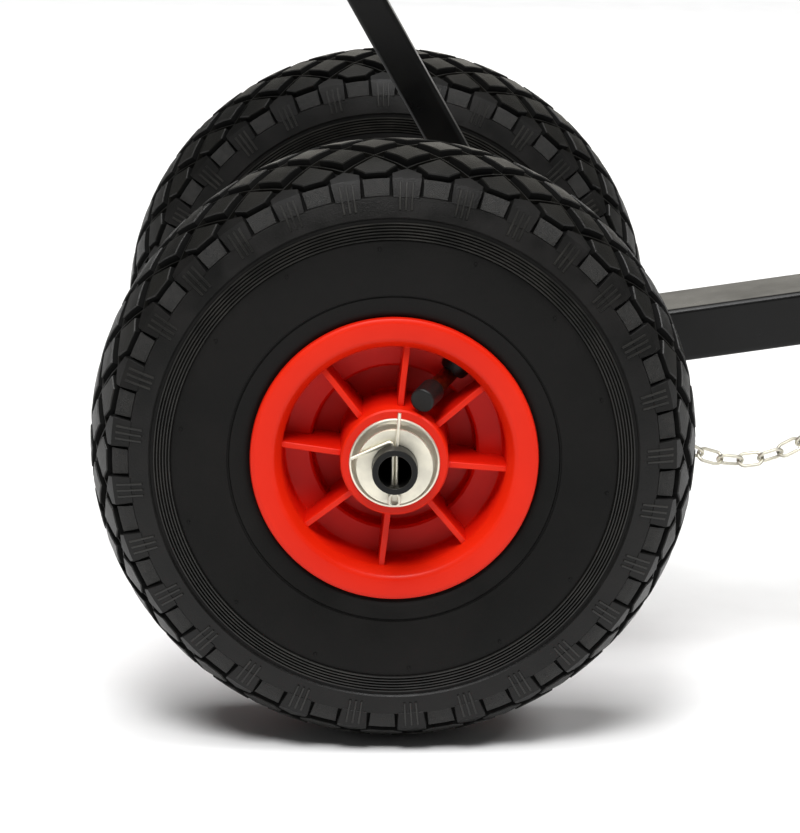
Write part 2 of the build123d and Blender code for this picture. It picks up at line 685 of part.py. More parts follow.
def build_handle():
    """Telescoping pole with its collar, tee, crossbar and grips."""
    screw_at = POLE_START + COLLAR_LENGTH / 2
    screw_hole = Pos(screw_at, 0, 0) * rod_z(SCREW_DIAMETER / 2 + SIDE_GAP, 0, 2 * pole_size)
    pole = square_tube(pole_size, pole_size, POLE_WALL, POLE_START, POLE_END) - screw_hole
    keep("handle_pole", place(post_frame, pole))

    collar_size = pole_size + 2 * COLLAR_WALL
    collar_top = collar_size / 2 + COLLAR_BOSS_HEIGHT
    collar = square_bar(collar_size, collar_size, POLE_START, POLE_START + COLLAR_LENGTH, COLLAR_CORNER)
    collar += Pos(screw_at, 0, 0) * rod_z(COLLAR_BOSS_RADIUS, 0, collar_top)
    hollow = pole_size + 2 * SEAT_GAP
    collar -= square_bar(hollow, hollow, POLE_START - OVERRUN, POLE_START + COLLAR_LENGTH + OVERRUN)
    collar -= screw_hole
    nut_start = collar_top - CLAMP_NUT_HEIGHT
    collar -= Pos(screw_at, 0, 0) * rod_z(CLAMP_NUT_FLATS / 2, nut_start, collar_top + OVERRUN)
    keep("pole_collar", place(post_frame, collar))

    insert = ring(CLAMP_NUT_FLATS / 2 - SEAT_GAP, SCREW_DIAMETER / 2 + RUNNING_FIT, nut_start, collar_top)
    keep("handle_clamp_insert", place(post_frame, Pos(screw_at, 0, 0) * insert))
    tip = POST_SIZE / 2 + SCREW_TIP_GAP
    knob_start = collar_top - tip + SCREW_SHOWN
    screw = Pos(screw_at, 0, tip) * clamp_screw(knob_start + SCREW_IN_KNOB - SEAT_GAP)
    keep("handle_clamp_screw", place(post_frame, screw))
    keep("handle_clamp_knob", place(post_frame, Pos(screw_at, 0, tip) * clamp_knob(knob_start)))

    bar_at = POLE_END + TEE_RADIUS + SEAT_GAP
    spigot = pole_size - 2 * POLE_WALL - 2 * SEAT_GAP
    tee = rod_y(TEE_RADIUS, -TEE_LENGTH / 2, TEE_LENGTH / 2, x=bar_at)
    tee += square_bar(pole_size, pole_size, POLE_END, bar_at)
    tee += square_bar(spigot, spigot, POLE_END - TEE_SPIGOT, bar_at)
    bar_radius = CROSSBAR_DIAMETER / 2
    tee -= rod_y(bar_radius + SEAT_GAP, -TEE_LENGTH, TEE_LENGTH, x=bar_at)
    keep("handle_tee", place(post_frame, tee))

    crossbar = rod_y(bar_radius, -CROSSBAR_LENGTH / 2, CROSSBAR_LENGTH / 2, x=bar_at)
    crossbar -= rod_y(bar_radius - CROSSBAR_WALL, -CROSSBAR_LENGTH, CROSSBAR_LENGTH, x=bar_at)
    keep("handle_crossbar", place(post_frame, crossbar))
    for side, name in ((-1, "right_grip"), (1, "left_grip")):
        far = side * (CROSSBAR_LENGTH / 2 + GRIP_END)
        near = side * (CROSSBAR_LENGTH / 2 - GRIP_LENGTH)
        grip = rod_y(bar_radius + GRIP_WALL, near, far, x=bar_at)
        grip = fillet(grip.edges().filter_by(GeomType.CIRCLE), GRIP_ROUND)
        bore_end = side * (CROSSBAR_LENGTH / 2 + SEAT_GAP)
        grip -= rod_y(bar_radius + SEAT_GAP, near - side * OVERRUN, bore_end, x=bar_at)
        keep(name, place(post_frame, grip))


# ---- Prop stand ----
stand_pivot = Vector(stand_position, 0, -BEAM_HEIGHT / 2 - STAND_PIVOT_DROP)
pivot_in_truck = beam_frame.from_local_coords(stand_pivot)
leg_turn = math.radians(STAND_LEAN)
leg_frame = Plane(
    origin=pivot_in_truck,
    x_dir=(math.cos(leg_turn), 0, -math.sin(leg_turn)),
    z_dir=(math.sin(leg_turn), 0, math.cos(leg_turn)),
)
under_floor = block((-FAR, FAR), (-FAR, FAR), (-FAR, 0))
cheek_inside = STAND_LEG_SIZE / 2 + SIDE_GAP
cheek_outside = cheek_inside + STAND_BRACKET_PLATE
bolt_radius = STAND_BOLT_DIAMETER / 2
stand_foot_radius = (STAND_LEG_SIZE / 2 + SEAT_GAP) * math.sqrt(2) + STAND_FOOT_WALL


def build_stand():
    """Folding prop leg in its bracket under the beam."""
    seat = -BEAM_HEIGHT / 2
    left = stand_position - STAND_LEG_SIZE / 2 - STAND_BRACKET_MARGIN - STAND_BRACKET_OFFSET
    right = stand_position + STAND_LEG_SIZE / 2 + STAND_BRACKET_MARGIN - STAND_BRACKET_OFFSET
    low = seat - STAND_PIVOT_DROP - STAND_LEG_SIZE
    bracket = block((left, right), (-cheek_outside, cheek_outside), (seat - STAND_BRACKET_PLATE, seat))
    for side in (-1, 1):
        cheek = sorted([side * cheek_inside, side * cheek_outside])
        bracket += block((left, right), cheek, (low, seat))
    bracket -= rod_y(bolt_radius + RUNNING_FIT, -BEAM_WIDTH, BEAM_WIDTH, x=stand_pivot.X, z=stand_pivot.Z)
    bracket = place(beam_frame, bracket)
    stop_face = -STAND_LEG_SIZE / 2 - SIDE_GAP
    stop = block(
        (stop_face - STAND_BRACKET_PLATE, stop_face),
        (-cheek_inside - OVERRUN, cheek_inside + OVERRUN),
        (-STAND_STOP_TOP - STAND_STOP_HEIGHT, -STAND_STOP_TOP),
    )
    keep("stand_bracket", bracket + place(leg_frame, stop))

    bolt = rod_y(bolt_radius, -cheek_outside - OVERRUN, cheek_outside + STAND_BOLT_THREAD)
    bolt += rod_y(STAND_BOLT_HEAD_RADIUS, -cheek_outside - STAND_BOLT_HEAD, -cheek_outside)
    keep("stand_bolt", place(leg_frame, bolt))
    nut_frame = Plane(origin=(0, cheek_outside, 0), x_dir=(1, 0, 0), z_dir=(0, 1, 0))
    nut = hexagon(STAND_NUT_FLATS, 0, STAND_NUT_HEIGHT, bolt_radius + RUNNING_FIT)
    keep("stand_nut", place(leg_frame, place(nut_frame, nut)))

    pivot_height = pivot_in_truck.Z
    leg_end = (pivot_height - STAND_FOOT_SOLE - stand_foot_radius * math.sin(leg_turn)) / math.cos(leg_turn)
    bar = Rot(0, 90, 0) * square_tube(STAND_LEG_SIZE, STAND_LEG_SIZE, STAND_LEG_WALL, 0, leg_end)
    shoulder = rod_y(STAND_LEG_SIZE / 2, -STAND_LEG_SIZE / 2, STAND_LEG_SIZE / 2)
    across = (-STAND_LEG_SIZE, STAND_LEG_SIZE)
    shoulder &= block(across, across, (-RUNNING_FIT, STAND_LEG_SIZE))
    leg = bar + shoulder
    leg -= rod_y(bolt_radius + RUNNING_FIT, -STAND_LEG_SIZE, STAND_LEG_SIZE)
    keep("stand_leg", place(leg_frame, leg))

    foot_top = -leg_end + STAND_FOOT_HEIGHT - STAND_FOOT_SOLE
    foot = rod_z(stand_foot_radius, -pivot_height * 1.2, foot_top)
    foot = fillet(foot.edges().group_by(Axis.Z)[-1], STAND_FOOT_ROUND)
    pocket_size = STAND_LEG_SIZE + 2 * SEAT_GAP
    pocket = Rot(0, 90, 0) * square_bar(pocket_size, pocket_size, 0, leg_end + SEAT_GAP)
    keep("stand_foot", place(leg_frame, foot - pocket) - under_floor)


# ---- Safety chain, hung as a catenary from two staples under the beam ----
def catenary_points(start, end):
    """Link joints along a hanging curve between two points."""
    length = chain_links * CHAIN_PITCH
    span = end.X - start.X
    rise = end.Z - start.Z
    target = math.sqrt(length**2 - rise**2)
    low, high = span / 20, span * 20
    for _ in range(80):
        scale = (low + high) / 2
        if 2 * scale * math.sinh(span / (2 * scale)) > target:
            low = scale
        else:
            high = scale
    lowest = (start.X + end.X) / 2 - scale * math.atanh(rise / length)
    base = start.Z - scale * math.cosh((start.X - lowest) / scale)
    first = scale * math.sinh((start.X - lowest) / scale)
    points = []
    for index in range(chain_links + 1):
        x = lowest + scale * math.asinh((first + index * CHAIN_PITCH) / scale)
        points.append(Vector(x, 0, base + scale * math.cosh((x - lowest) / scale)))
    return points


def chain_link(start, end, roll):
    """One oval link between two joints of the chain."""
    wire = CHAIN_WIRE / 2
    end_radius = CHAIN_WIDTH / 2 - wire
    along = (end - start).normalized()
    straight = (end - start).length + CHAIN_GAP + CHAIN_WIRE - 2 * end_radius
    half = straight / 2
    link = Pos(0, -end_radius, 0) * Rot(0, 90, 0) * Cylinder(wire, straight)
    link += Pos(0, end_radius, 0) * Rot(0, 90, 0) * Cylinder(wire, straight)
    for side in (-1, 1):
        bend = Pos(side * half, 0, 0) * Torus(end_radius, wire)
        outer = sorted([side * half, side * (half + end_radius + 2 * wire)])
        link += bend & block(outer, (-CHAIN_WIDTH, CHAIN_WIDTH), (-CHAIN_WIRE, CHAIN_WIRE))
    frame = Plane(origin=(start + end) / 2, x_dir=along, z_dir=(-along.Z, 0, along.X))
    return place(frame, Rot(roll, 0, 0) * link)


def build_chain():
    """Chain links and the two staples they hang from."""
    rod_line = -BEAM_HEIGHT / 2 - ANCHOR_DROP
    anchors = [
        beam_frame.from_local_coords(Vector(place_on_beam, 0, rod_line))
        for place_on_beam in (CHAIN_FIRST_ANCHOR, chain_second_anchor)
    ]
    start, end = anchors
    for _ in range(4):
        points = catenary_points(start, end)
        start = anchors[0] - (points[1] - points[0]).normalized() * ANCHOR_HOOK
        end = anchors[1] + (points[-1] - points[-2]).normalized() * ANCHOR_HOOK
    links = []
    for index in range(chain_links):
        from_end = min(index, chain_links - 1 - index)
        twist = CHAIN_TWIST * min(from_end / CHAIN_TWIST_LINKS, 1.0)
        quarter = 90.0 * (index % 2)
        if index >= chain_links / 2 and chain_links % 2 == 0:
            twist = 2 * CHAIN_TWIST - twist
        links.append(chain_link(points[index], points[index + 1], quarter + twist))
    keep("chain_links", *links)
    staples = []
    for place_on_beam in (CHAIN_FIRST_ANCHOR, chain_second_anchor):
        left = place_on_beam - ANCHOR_SPAN / 2
        right = place_on_beam + ANCHOR_SPAN / 2
        top = -BEAM_HEIGHT / 2
        corners = [(left, 0, top), (left, 0, rod_line), (right, 0, rod_line), (right, 0, top)]
        staples.append(place(beam_frame, bent_rod(corners, ANCHOR_BEND, ANCHOR_ROD_RADIUS)))
    keep("chain_staples", *staples)


build_wheel("right", right_wheel_frame)
build_wheel("left", left_wheel_frame)
build_axle()
build_beam()
build_tongue()
build_tongue_clamp()
build_post()
build_handle()
build_stand()
build_chain()

# The origin is on the floor, under the middle of the truck's bounding box.
boxes = [solid.bounding_box() for solids in nodes.values() for solid in solids]
middle_x = (min(box.min.X for box in boxes) + max(box.max.X for box in boxes)) / 2
os.makedirs("parts", exist_ok=True)
for name, solids in nodes.items():
    moved = [Pos(-middle_x, 0, 0) * solid for solid in solids]
    export_step(Compound(moved), "parts/" + name + ".step")
print("origin moved by", -middle_x)
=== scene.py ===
import json
import math

import bpy
import numpy as np
from mathutils import Matrix, Vector


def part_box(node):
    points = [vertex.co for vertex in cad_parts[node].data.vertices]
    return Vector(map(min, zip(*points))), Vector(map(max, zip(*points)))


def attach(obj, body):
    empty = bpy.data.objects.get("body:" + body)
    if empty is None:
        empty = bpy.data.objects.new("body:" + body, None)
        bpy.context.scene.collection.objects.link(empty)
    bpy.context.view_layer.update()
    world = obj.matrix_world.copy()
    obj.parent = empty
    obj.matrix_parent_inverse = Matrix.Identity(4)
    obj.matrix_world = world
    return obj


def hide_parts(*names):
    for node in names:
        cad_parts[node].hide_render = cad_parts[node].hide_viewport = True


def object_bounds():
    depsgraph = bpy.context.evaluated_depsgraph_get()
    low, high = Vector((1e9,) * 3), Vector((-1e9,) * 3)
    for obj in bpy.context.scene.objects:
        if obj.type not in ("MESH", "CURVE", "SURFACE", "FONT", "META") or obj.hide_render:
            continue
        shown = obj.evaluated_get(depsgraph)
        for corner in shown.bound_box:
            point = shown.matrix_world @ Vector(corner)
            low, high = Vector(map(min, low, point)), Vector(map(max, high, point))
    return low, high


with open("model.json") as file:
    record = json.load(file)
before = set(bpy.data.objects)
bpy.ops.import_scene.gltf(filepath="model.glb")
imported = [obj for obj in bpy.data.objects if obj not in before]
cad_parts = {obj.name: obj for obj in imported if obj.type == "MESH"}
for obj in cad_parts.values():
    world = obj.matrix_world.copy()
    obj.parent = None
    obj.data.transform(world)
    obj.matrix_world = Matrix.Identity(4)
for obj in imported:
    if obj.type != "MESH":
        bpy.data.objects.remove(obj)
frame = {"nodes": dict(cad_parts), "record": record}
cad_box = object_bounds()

# Lengths are in millimetres in a wheel's own frame (X and Y across it, Z outward) and along a grip,
# and in metres in the truck's frame, as for the lights and the camera.
MM = 0.001

# ---- Sizes, from the frame where it has them ----
axle_low, axle_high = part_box("axle")
tyre_low, tyre_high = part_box("right_tyre")
AXLE_X = (axle_low[0] + axle_high[0]) / 2
AXLE_Z = (axle_low[2] + axle_high[2]) / 2
WHEEL_Y = -(tyre_low[1] + tyre_high[1]) / 2
# The tyre's outer skin, as (radius, height) where two numbers are given: the middle of the tread, its
# edge, the widest place on the sidewall and its foot at the rim.
CROWN = 129.8
SHOULDER = (119.0, 35.3)
WIDEST = (90.0, 42.2)
FLANK_FOOT = (61.2, 38.3)
CROWN_SAG = 0.234        # share of the tread's fall that is reached halfway to its edge
# Steps along the two arcs, and the distance each way over which the skin's slope is taken.
CROWN_STEPS = 60
FLANK_STEPS = 80
SLOPE_STEP = 0.4
# Tread and sidewall rings.
TREAD_DEPTH = 3.4
TREAD_RADIUS = 126.0
PITCHES = 29
PITCH = 2 * math.pi / PITCHES
ROWS = 6
ROW_SPACING = 11.6
RING_COUNT = 6
RING_START = 94.0
RING_STEP = 1.27
# Rim: its outer radius and the height of its lip's face.
LIP = 60.7
LIP_FACE = 40.0
# Steps round each turned shape, and the angle in degrees beyond which an edge is sharp.
LATHE_STEPS = 224
RIM_STEPS = 160
CUP_STEPS = 96
GRIP_STEPS = 56
BASE_STEPS = 32
SMOOTH_ANGLE = 32.0


def linear(red, green, blue):
    """Linear colour from 0-255 display values."""
    shares = [value / 255 for value in (red, green, blue)]
    return tuple(c / 12.92 if c <= 0.04045 else ((c + 0.055) / 1.055) ** 2.4 for c in shares) + (1,)


# ---- Materials ----
# The stretch of noise, turn or occlusion that each mask uses, then bump heights in metres.
NOISE_ROUGH = 0.55
PATCH_RANGE = (0.35, 0.65)
GLOSS_RANGE = (0.3, 0.7)
# Patchy breakup of the edge colour, which is partly wear and partly painted highlight and shade.
EDGE_PATCH_RANGE = (0.35, 0.6)
EDGE_PATCH_LEAST = 0.25
EDGE_TURN = (0.97, 0.8)
HOLLOW_RANGE = (0.15, 0.8)
HOLLOW_REACH = 0.03
GRAIN_HEIGHT = 0.0004
WAVE_HEIGHT = 0.002
BEVEL_SAMPLES = 6
HOLLOW_SAMPLES = 8


def add_node(tree, kind, **values):
    """A shader node with its inputs set by name."""
    node = tree.nodes.new(kind)
    for key, value in values.items():
        node.inputs[key.replace("_", " ")].default_value = value
    return node


def noise(tree, coords, scale, detail):
    """Noise over the object's own coordinates."""
    node = add_node(tree, "ShaderNodeTexNoise", Scale=scale, Detail=detail, Roughness=NOISE_ROUGH)
    tree.links.new(coords.outputs["Object"], node.inputs["Vector"])
    return node.outputs[0]


def ramp(tree, value, low, high, start, end):
    """Maps a value from one range to another, clamped."""
    node = tree.nodes.new("ShaderNodeMapRange")
    for name, number in (("From Min", low), ("From Max", high), ("To Min", start), ("To Max", end)):
        node.inputs[name].default_value = number
    tree.links.new(value, node.inputs["Value"])
    return node.outputs["Result"]


def mix(tree, share, first, second):
    """Mixes two colours by a share that is a socket."""
    node = tree.nodes.new("ShaderNodeMix")
    node.data_type = "RGBA"
    tree.links.new(share, node.inputs["Factor"])
    for socket, colour in ((node.inputs[6], first), (node.inputs[7], second)):
        if isinstance(colour, tuple):
            socket.default_value = colour
        else:
            tree.links.new(colour, socket)
    return node.outputs[2]


def edge_wear_and_painted_light(tree, patches, colour, edge, share, width):
    """Mixes in the edge colour where the surface turns over an edge: partly wear, partly painted light, a
    highlight where that colour is lighter and shade where it is darker. Gives the rounded normal too.
    """
    rounded = add_node(tree, "ShaderNodeBevel", Radius=width)
    rounded.samples = BEVEL_SAMPLES
    geometry = tree.nodes.new("ShaderNodeNewGeometry")
    turned = tree.nodes.new("ShaderNodeVectorMath")
    turned.operation = "DOT_PRODUCT"
    tree.links.new(rounded.outputs["Normal"], turned.inputs[0])
    tree.links.new(geometry.outputs["Normal"], turned.inputs[1])
    ridge = ramp(tree, turned.outputs["Value"], *EDGE_TURN, 0.0, share)
    scuffs_and_painted_light = tree.nodes.new("ShaderNodeMath")
    scuffs_and_painted_light.operation = "MULTIPLY"
    tree.links.new(ridge, scuffs_and_painted_light.inputs[0])
    tree.links.new(ramp(tree, patches, *EDGE_PATCH_RANGE, EDGE_PATCH_LEAST, 1.0), scuffs_and_painted_light.inputs[1])
    return mix(tree, scuffs_and_painted_light.outputs[0], colour, edge), rounded.outputs["Normal"]


def finish(name, base, other, rough=(0.4, 0.6), patch=30.0, grain=900.0, grain_bump=0.1, wave=0.0,
           metal=0.0, specular=0.5, edge=None, edge_share=0.6, edge_width=0.0006, hollow_shade=None):
    """A surface with patchy colour and roughness and fine grain. edge is the colour mixed in over edges,
    partly wear and partly painted light (a highlight where lighter, shade where darker), and hollow_shade
    is painted shade mixed in by occlusion in hollows."""
    material = bpy.data.materials.new(name)
    material.use_nodes = True
    tree = material.node_tree
    shader = tree.nodes["Principled BSDF"]
    coords = tree.nodes.new("ShaderNodeTexCoord")
    patches = noise(tree, coords, patch, detail=4.0)
    fine = noise(tree, coords, grain, detail=3.0)
    colour = mix(tree, ramp(tree, patches, *PATCH_RANGE, 0.0, 1.0), base, other)
    bump = add_node(tree, "ShaderNodeBump", Strength=grain_bump, Distance=GRAIN_HEIGHT)
    tree.links.new(fine, bump.inputs["Height"])
    # Edge colour: partly wear, partly painted highlight where it is lighter and painted shade where it is
    # darker.
    if edge:
        colour, rounded = edge_wear_and_painted_light(tree, patches, colour, edge, edge_share, edge_width)
        tree.links.new(rounded, bump.inputs["Normal"])
    # Painted shade: the hollow colour is mixed in by occlusion where the surface is hemmed in.
    if hollow_shade:
        hollow = add_node(tree, "ShaderNodeAmbientOcclusion", Distance=HOLLOW_REACH)
        hollow.samples = HOLLOW_SAMPLES
        colour = mix(tree, ramp(tree, hollow.outputs["AO"], *HOLLOW_RANGE, 0.0, 1.0), hollow_shade, colour)
    tree.links.new(colour, shader.inputs["Base Color"])
    tree.links.new(ramp(tree, patches, *GLOSS_RANGE, *rough), shader.inputs["Roughness"])
    normal = bump.outputs["Normal"]
    if wave:
        swell = add_node(tree, "ShaderNodeBump", Strength=wave, Distance=WAVE_HEIGHT)
        tree.links.new(patches, swell.inputs["Height"])
        tree.links.new(normal, swell.inputs["Normal"])
        normal = swell.outputs["Normal"]
    tree.links.new(normal, shader.inputs["Normal"])
    shader.inputs["Metallic"].default_value = metal
    shader.inputs["Specular IOR Level"].default_value = specular
    return material


LOOKS = {
    "tyre_rubber": finish(
        "tyre_rubber", linear(10, 10, 9), linear(17, 16, 15), rough=(0.44, 0.58), patch=22, grain=1400,
        grain_bump=0.25, specular=0.11),
    "tread_rubber": finish(
        "tread_rubber", linear(11, 11, 9), linear(20, 19, 16), rough=(0.32, 0.46), patch=60, grain=1800,
        grain_bump=0.5, specular=0.28),
    "pad_rubber": finish(
        "pad_rubber", linear(18, 18, 17), linear(30, 29, 27), rough=(0.38, 0.5), patch=420, grain=2600,
        grain_bump=1.0, specular=0.25),
    # Painted shade: darker rubber for the tread's grooves and the blocks' sides.
    "groove_rubber_painted_shade": finish(
        "groove_rubber_painted_shade", linear(6, 6, 6), linear(10, 10, 9), rough=(0.7, 0.85), patch=60, grain=1500,
        grain_bump=0.2, specular=0.08),
    "flank_rubber": finish(
        "flank_rubber", linear(10, 10, 9), linear(18, 17, 16), rough=(0.34, 0.46), patch=70, grain=1500,
        grain_bump=0.35, specular=0.19),
    # Painted highlight: lighter rubber for the sidewall rings and the lugs' ribs.
    "rib_rubber_painted_highlight": finish(
        "rib_rubber_painted_highlight", linear(18, 18, 16), linear(30, 29, 26), rough=(0.3, 0.42), patch=80, grain=1500,
        grain_bump=0.2, specular=0.34),
    "tube_rubber": finish(
        "tube_rubber", linear(30, 30, 30), linear(44, 44, 43), rough=(0.5, 0.7)),
    # Painted shade in the rim's pockets: a deeper red mixed in by occlusion in hollows.
    "red_plastic": finish(
        "red_plastic", linear(192, 26, 3), linear(200, 32, 6), rough=(0.34, 0.46), patch=18, grain=700,
        grain_bump=0.04, wave=0.05, specular=0.16, hollow_shade=linear(204, 20, 6)),
    "brass": finish(
        "brass", linear(150, 100, 52), linear(96, 60, 34), rough=(0.3, 0.5), patch=300, metal=1.0),
    # Its lighter edge colour is partly wear and partly a painted highlight.
    "black_plastic": finish(
        "black_plastic", linear(10, 10, 10), linear(17, 17, 16), rough=(0.35, 0.5), patch=60,
        grain=1500, grain_bump=0.3, specular=0.25, edge=linear(70, 70, 68), edge_share=0.3),
    # Its darker edge colour is painted shade along the edges.
    "zinc_steel": finish(
        "zinc_steel", linear(226, 221, 203), linear(206, 202, 188), rough=(0.38, 0.52), patch=90,
        grain=2200, grain_bump=0.12, metal=1.0, edge=linear(132, 131, 124), edge_share=0.5,
        edge_width=0.0004),
    "bearing_steel": finish(
        "bearing_steel", linear(190, 190, 188), linear(160, 158, 150), rough=(0.2, 0.35), metal=1.0),
    "chrome_steel": finish(
        "chrome_steel", linear(225, 226, 228), linear(205, 206, 208), rough=(0.05, 0.12), patch=40,
        grain=400, grain_bump=0.02, metal=1.0),
    # Its lighter edge colour is partly wear and partly a painted highlight.
    "black_steel": finish(
        "black_steel", linear(6, 6, 6), linear(10, 10, 9), rough=(0.26, 0.36), patch=50, grain=1100,
        grain_bump=0.1, wave=0.04, specular=0.2, edge=linear(76, 74, 66), edge_share=0.6),
    "grip_rubber": finish(
        "grip_rubber", linear(26, 26, 26), linear(38, 38, 37), rough=(0.6, 0.8), patch=70, grain=1700,
        grain_bump=0.5),
}

slot_of = {row["node"]: row["material_slot"] for row in frame["record"]["subparts"]}
for name, node in frame["nodes"].items():
    look = LOOKS[slot_of[name]]
    if node.material_slots:
        for slot in node.material_slots:
            slot.material = look
    else:
        node.data.materials.append(look)


# ---- Mesh building ----
class Shape:
    """Collects vertices and faces, with a material number for each face."""

    def __init__(self):
        self.points, self.faces, self.kinds = [], [], []

    def add(self, points, faces, kind=0):
        start = len(self.points)
        self.points.extend(points)
        self.faces.extend([tuple(start + i for i in face) for face in faces])
        self.kinds.extend([kind] * len(faces))

    def lathe(self, profile, steps=LATHE_STEPS, kind=0):
        """Turns a (radius, height) outline about Z."""
        count = len(profile)
        points = []
        for step in range(steps):
            angle = 2 * math.pi * step / steps
            c, s = math.cos(angle), math.sin(angle)
            points.extend([(r * c, r * s, z) for r, z in profile])
        faces = []
        for step in range(steps):
            here, there = step * count, (step + 1) % steps * count
            for i in range(count):
                j = (i + 1) % count
                faces.append((here + i, there + i, there + j, here + j))
        self.add(points, faces, kind)

    def build(self, name, matrix, looks, body):
        """Makes the object in the truck's frame."""
        mesh = bpy.data.meshes.new(name)
        mesh.from_pydata(self.points, [], self.faces)
        mesh.transform(matrix)
        for look in looks:
            mesh.materials.append(LOOKS[look])
        mesh.polygons.foreach_set("material_index", self.kinds)
        mesh.update()
        item = bpy.data.objects.new(name, mesh)
        bpy.context.scene.collection.objects.link(item)
        mesh.shade_smooth()
        mesh.set_sharp_from_angle(angle=math.radians(SMOOTH_ANGLE))
        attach(item, body)
        return item


def wheel_matrix(side):
    """From a wheel's own frame in millimetres to the truck's in metres. side is -1 on the right."""
    turn = Matrix(((-side, 0, 0, AXLE_X), (0, 0, side, side * WHEEL_Y), (0, 1, 0, AXLE_Z), (0, 0, 0, 1)))
    return turn @ Matrix.Diagonal((MM, MM, MM, 1))


# ---- Tyre ----
# Material numbers on the tyre, in the order of its looks. The groove rubber is darker as painted shade and
# the rib rubber lighter as a painted highlight.
BODY, TREAD, PAD, GROOVE, FLANK, RIB = range(6)
TYRE_LOOKS = ["tyre_rubber", "tread_rubber", "pad_rubber", "groove_rubber_painted_shade", "flank_rubber", "rib_rubber_painted_highlight"]
# A tread block is a diamond with pinched sides. The outer rows' diamonds are cut flat towards the shoulder.
PINCH = 0.47
DIAMOND = ((-1, 0), (-PINCH, -PINCH), (0, -1), (PINCH, -PINCH), (1, 0), (PINCH, PINCH), (0, 1),
           (-PINCH, PINCH))
BLOCK_HALF = PITCH * 0.35
BLOCK_TALL = ROW_SPACING * 0.65
BLOCK_FLOOR = -TREAD_DEPTH - 0.6
CUT_AT = 0.6
CUT_WIDTH = 0.5
BAR_WIDTH = 0.9
# A shoulder lug, the three ribs on it and the pad beside it. Lengths from the tread's edge are outward.
LUG_HALF = PITCH * 0.25
LUG_PEAK = -6.6
LUG_CORNER = -3.2
LUG_FOOT = 111.2
LUG_NARROWS = 0.92
RIB_SPREAD = 2.5 / 110
RIB_REACH = (117.4, 106.4)
RIB_WIDTH = 1.5
PAD_HALF = PITCH * 0.225
PAD_START = -1.4
PAD_FOOT = 112.2
PAD_NARROWS = 0.95
# The inside of the tyre: three points of its arc, from the middle to the bead.
LINING = ((CROWN - 8.5, 0), (118, 24), (72, 35.5))
LINING_STEPS = 10
# Faces beyond GROOVE_FROM are groove rubber, darker as painted shade, and those beyond FLANK_FROM near the
# side are glossier.
GROOVE_FROM = 112.0
FLANK_FROM = 102.8
FLANK_OUT = 36
# One sidewall ring as (radius, lift) steps, and the small vent nubs round the sidewall.
RING_SHAPE = ((0.12, -0.6), (0.3, -0.22), (0.66, -0.22), (0.84, -0.6))
NUBS = 14
NUB_RADIUS = 90.4
NUB_SIZE = (0.008, 0.75)


def arc_through(first, middle, last, steps):
    """Points on the circle through three points, first to last."""
    (ax, ay), (bx, by), (cx, cy) = first, middle, last
    d = 2 * (ax * (by - cy) + bx * (cy - ay) + cx * (ay - by))
    a2, b2, c2 = ax * ax + ay * ay, bx * bx + by * by, cx * cx + cy * cy
    ux = (a2 * (by - cy) + b2 * (cy - ay) + c2 * (ay - by)) / d
    uy = (a2 * (cx - bx) + b2 * (ax - cx) + c2 * (bx - ax)) / d
    radius = math.hypot(ax - ux, ay - uy)
    start = math.atan2(ay - uy, ax - ux)
    end = math.atan2(cy - uy, cx - ux)
    end += 2 * math.pi * round((start - end) / (2 * math.pi))
    angles = [start + (end - start) * k / steps for k in range(steps + 1)]
    return [(ux + radius * math.cos(angle), uy + radius * math.sin(angle)) for angle in angles]


crown_middle = (CROWN - (CROWN - SHOULDER[0]) * CROWN_SAG, SHOULDER[1] * 0.5)
crown_line = arc_through((CROWN, 0), crown_middle, SHOULDER, CROWN_STEPS)
flank_line = arc_through(SHOULDER, WIDEST, FLANK_FOOT, FLANK_STEPS)
skin = np.array(crown_line + flank_line[1:])
travel = np.concatenate([[0], np.cumsum(np.hypot(*np.diff(skin, axis=0).T))])
EDGE = travel[CROWN_STEPS]


def along_flank(radius):
    """Distance from the crown's middle to a radius on the sidewall."""
    return float(np.interp(-radius, -skin[CROWN_STEPS:, 0], travel[CROWN_STEPS:]))


def on_skin(angle, s, lift):
    """A point on the tyre's outer skin. s runs from the tread's middle outward, and lift is above it."""
    side = 1 if s >= 0 else -1
    s = abs(s)
    r, z = np.interp(s, travel, skin[:, 0]), np.interp(s, travel, skin[:, 1])
    before, after = max(s - SLOPE_STEP, 0), min(s + SLOPE_STEP, travel[-1])
    if s < EDGE:
        after = min(after, EDGE)
    else:
        before = max(before, EDGE)
    dr = np.interp(after, travel, skin[:, 0]) - np.interp(before, travel, skin[:, 0])
    dz = np.interp(after, travel, skin[:, 1]) - np.interp(before, travel, skin[:, 1])
    size = math.hypot(dr, dz)
    r, z = r + dz / size * lift, z - dr / size * lift
    return (r * math.cos(angle), r * math.sin(angle), side * z)


